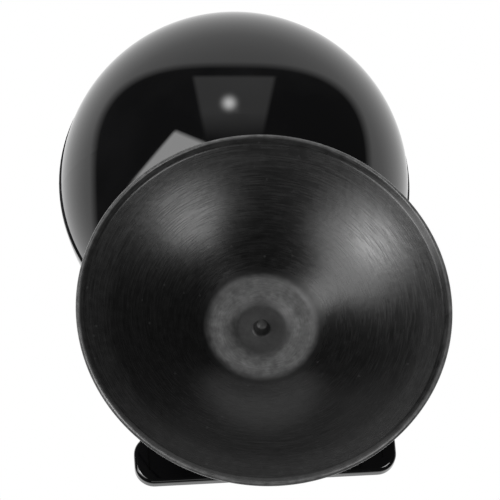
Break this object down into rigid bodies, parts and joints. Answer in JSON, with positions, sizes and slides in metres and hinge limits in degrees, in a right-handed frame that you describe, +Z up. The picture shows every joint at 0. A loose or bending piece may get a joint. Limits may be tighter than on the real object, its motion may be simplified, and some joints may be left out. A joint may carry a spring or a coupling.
{
  "type": "vacuum suction cup",
  "caption": "Lever-lock vacuum suction cup: dished rubber pad under a round housing, flat rectangular lever, and a folding neck carrying a large hollow glossy ball head",
  "frame": {"origin": "centre of the rubber cup's rim, in the plane it stands on", "axes": "+Z up along the cup's axis with the cup facing down, +Y towards the ball head, -Y towards the lever's paddle, +X to the right"},
  "size_m": [0.0808, 0.1332, 0.0978],
  "materials": {
    "rubber_black": "black rubber",
    "gloss_black": "mirror-gloss black plastic",
    "satin_black": "satin black plastic",
    "steel": "plain steel",
    "brass": "turned brass",
    "bush": "natural white plastic"
  },
  "bodies": {
    "base": {"suction_pad": "rubber_black", "backing_dish": "satin_black", "housing": "satin_black", "housing_screws": "steel", "guide_bush": "bush", "wear_plate": "steel", "return_spring": "steel", "tilt_bolt": "steel", "friction_washers": "bush"},
    "stem_unit": {"pad_insert": "satin_black", "stem": "steel", "lever_pin": "steel", "pin_clips": "steel"},
    "lever_unit": {"lever": "gloss_black", "lever_inlay": "rubber_black"},
    "head": {"neck_arm": "satin_black", "neck_washer": "steel", "neck_nut": "steel", "ball_lower_shell": "gloss_black", "ball_upper_shell": "gloss_black", "ball_screws": "steel"},
    "knob": {"thumb_knob": "satin_black", "knob_insert": "brass"}
  },
  "joints": [
    {"name": "stem_lift", "type": "slide", "parent": "base", "child": "stem_unit", "axis": [0, 0, 1], "range_m": [-0.00188, 0], "deforming": ["suction_pad", "return_spring"]},
    {"name": "lever_turn", "type": "hinge", "parent": "stem_unit", "child": "lever_unit", "pos_m": [0, 0, 0.0327], "axis": [-1, 0, 0], "range_deg": [0, 45]},
    {"name": "neck_tilt", "type": "hinge", "parent": "base", "child": "head", "pos_m": [0, 0.012, 0.032], "axis": [1, 0, 0], "range_deg": [0, 50]},
    {"name": "knob_turn", "type": "hinge", "parent": "base", "child": "knob", "pos_m": [0, 0.012, 0.032], "axis": [1, 0, 0], "range_deg": [-90, 90]}
  ],
  "couplings": [
    {"joint": "lever_turn", "follows": "stem_lift", "rad_per_m": -416.67}
  ]
}
